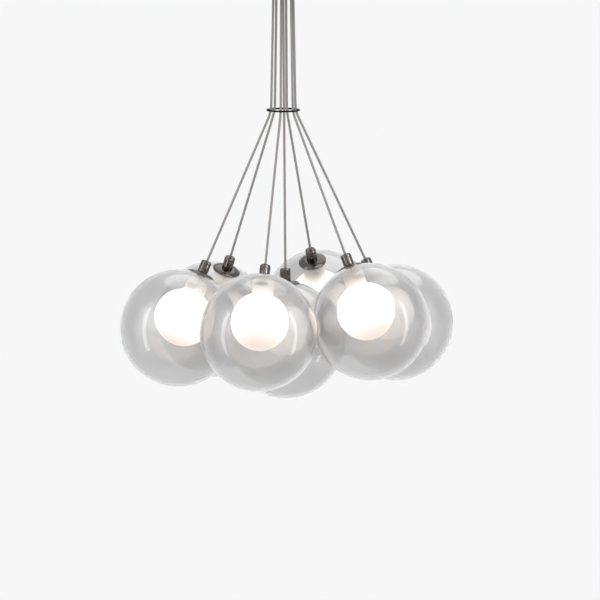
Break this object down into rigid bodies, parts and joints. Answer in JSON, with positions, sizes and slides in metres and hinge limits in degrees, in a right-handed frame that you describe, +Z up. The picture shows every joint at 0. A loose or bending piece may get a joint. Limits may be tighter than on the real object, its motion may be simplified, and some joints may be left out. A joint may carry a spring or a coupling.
{
  "type": "cluster pendant light",
  "caption": "Ceiling light: clear glass globes with frosted inner globes, leaning together in a cluster, on cords gathered by a ring below a round canopy.",
  "frame": {"origin": "centre of the canopy's ceiling face", "axes": "+Z up into the ceiling, the light hangs towards -Z; +X to the viewer's right and +Y away from the viewer"},
  "size_m": [0.4276, 0.4863, 0.5614],
  "materials": {
    "clear_glass": "clear blown glass",
    "frosted_glass": "acid-frosted glass, lit from inside",
    "lamp_capsule": "frosted capsule, lit",
    "black_chrome": "polished black chrome",
    "satin_nickel": "satin nickel",
    "cord_sheath": "smooth grey sheath",
    "black_wire": "black lacquered wire",
    "zinc_steel": "zinc-plated steel",
    "white_plastic": "moulded, plain",
    "brass": "bright"
  },
  "bodies": {
    "canopy": {"canopy_cover": "black_chrome", "mounting_bracket": "zinc_steel", "bracket_studs": "zinc_steel", "cap_nuts": "black_chrome", "cord_glands": "black_chrome", "gland_nuts": "zinc_steel", "lamp_driver": "white_plastic", "terminal_block": "white_plastic", "earth_screw": "brass"},
    "bundle": {"upper_cords": "cord_sheath", "globe_centre": "clear_glass", "inner_globe_centre": "frosted_glass", "cap_centre": "black_chrome", "cord_grip_centre": "black_chrome", "lamp_holder_centre": "satin_nickel", "lamp_centre": "lamp_capsule", "cord_centre": "cord_sheath"},
    "gather_ring": {"gather_ring": "black_wire"},
    "pendant_left": {"globe_left": "clear_glass", "inner_globe_left": "frosted_glass", "cap_left": "black_chrome", "cord_grip_left": "black_chrome", "lamp_holder_left": "satin_nickel", "lamp_left": "lamp_capsule", "cord_left": "cord_sheath"},
    "pendant_front": {"globe_front": "clear_glass", "inner_globe_front": "frosted_glass", "cap_front": "black_chrome", "cord_grip_front": "black_chrome", "lamp_holder_front": "satin_nickel", "lamp_front": "lamp_capsule", "cord_front": "cord_sheath"},
    "pendant_back": {"globe_back": "clear_glass", "inner_globe_back": "frosted_glass", "cap_back": "black_chrome", "cord_grip_back": "black_chrome", "lamp_holder_back": "satin_nickel", "lamp_back": "lamp_capsule", "cord_back": "cord_sheath"},
    "pendant_front_right": {"globe_front_right": "clear_glass", "inner_globe_front_right": "frosted_glass", "cap_front_right": "black_chrome", "cord_grip_front_right": "black_chrome", "lamp_holder_front_right": "satin_nickel", "lamp_front_right": "lamp_capsule", "cord_front_right": "cord_sheath"},
    "pendant_right": {"globe_right": "clear_glass", "inner_globe_right": "frosted_glass", "cap_right": "black_chrome", "cord_grip_right": "black_chrome", "lamp_holder_right": "satin_nickel", "lamp_right": "lamp_capsule", "cord_right": "cord_sheath"},
    "pendant_back_left": {"globe_back_left": "clear_glass", "inner_globe_back_left": "frosted_glass", "cap_back_left": "black_chrome", "cord_grip_back_left": "black_chrome", "lamp_holder_back_left": "satin_nickel", "lamp_back_left": "lamp_capsule", "cord_back_left": "cord_sheath"}
  },
  "joints": [
    {"name": "cluster_swing", "type": "hinge", "parent": "canopy", "child": "bundle", "pos_m": [0, 0, -0.035], "axis": [1, 0, 0], "range_deg": [-10, 10]},
    {"name": "ring_slide", "type": "slide", "parent": "bundle", "child": "gather_ring", "axis": [0, 0, 1], "range_m": [0, 0.02]},
    {"name": "left_swing", "type": "hinge", "parent": "bundle", "child": "pendant_left", "pos_m": [-0.01535, -0.00683, -0.1916], "axis": [-0.4067, 0.9135, 0], "range_deg": [0, 20]},
    {"name": "front_swing", "type": "hinge", "parent": "bundle", "child": "pendant_front", "pos_m": [-0.003, -0.01653, -0.1916], "axis": [-0.9839, 0.1788, 0], "range_deg": [0, 20]},
    {"name": "back_swing", "type": "hinge", "parent": "bundle", "child": "pendant_back", "pos_m": [0.00463, 0.01615, -0.1916], "axis": [0.9613, -0.2756, 0], "range_deg": [0, 20]},
    {"name": "front_right_swing", "type": "hinge", "parent": "bundle", "child": "pendant_front_right", "pos_m": [0.01241, -0.01133, -0.1916], "axis": [-0.6743, -0.7385, 0], "range_deg": [0, 20]},
    {"name": "right_swing", "type": "hinge", "parent": "bundle", "child": "pendant_right", "pos_m": [0.01585, 0.00558, -0.1916], "axis": [0.3322, -0.9432, 0], "range_deg": [0, 20]},
    {"name": "back_left_swing", "type": "hinge", "parent": "bundle", "child": "pendant_back_left", "pos_m": [-0.01062, 0.01302, -0.1916], "axis": [0.7749, 0.632, 0], "range_deg": [0, 20]}
  ]
}
